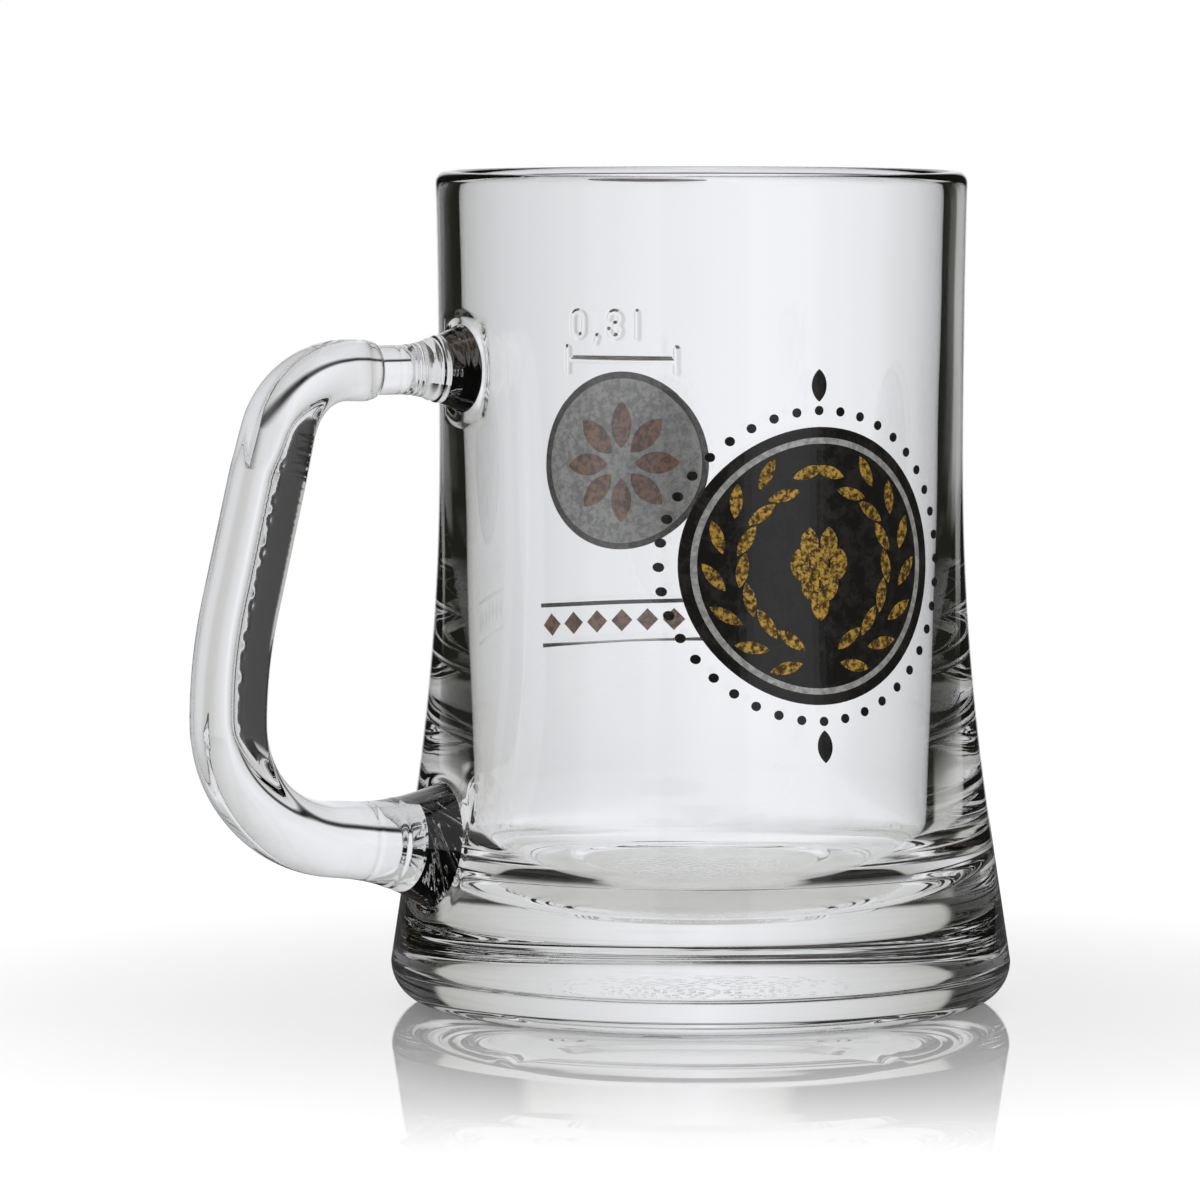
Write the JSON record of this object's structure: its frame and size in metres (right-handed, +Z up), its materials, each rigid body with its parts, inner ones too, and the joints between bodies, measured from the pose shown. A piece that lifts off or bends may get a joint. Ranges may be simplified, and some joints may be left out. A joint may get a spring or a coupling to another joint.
{
  "type": "beer mug",
  "caption": "Clear pressed-glass beer mug with a thick flared base, a welded-on loop handle, a raised fill line and fired enamel decoration.",
  "frame": {"origin": "middle of the foot ring, on the surface that the mug stands on", "axes": "+Z up along the vessel's axis, the handle points along -X, the front decoration faces -Y"},
  "size_m": [0.1299, 0.0942, 0.126],
  "materials": {
    "vessel_glass": "clear, fire polished",
    "handle_glass": "clear, fire polished",
    "black_enamel": "gloss fired enamel",
    "gold_enamel": "mottled metallic fired enamel",
    "silver_enamel": "metallic fired enamel",
    "dark_enamel": "gloss fired enamel",
    "copper_enamel": "metallic fired enamel"
  },
  "bodies": {
    "root": {"vessel": "vessel_glass", "handle": "handle_glass", "front_black_enamel": "black_enamel", "front_gold_enamel": "gold_enamel", "front_silver_enamel": "silver_enamel", "back_silver_enamel": "silver_enamel", "back_dark_enamel": "dark_enamel", "back_copper_enamel": "copper_enamel"}
  },
  "joints": []
}
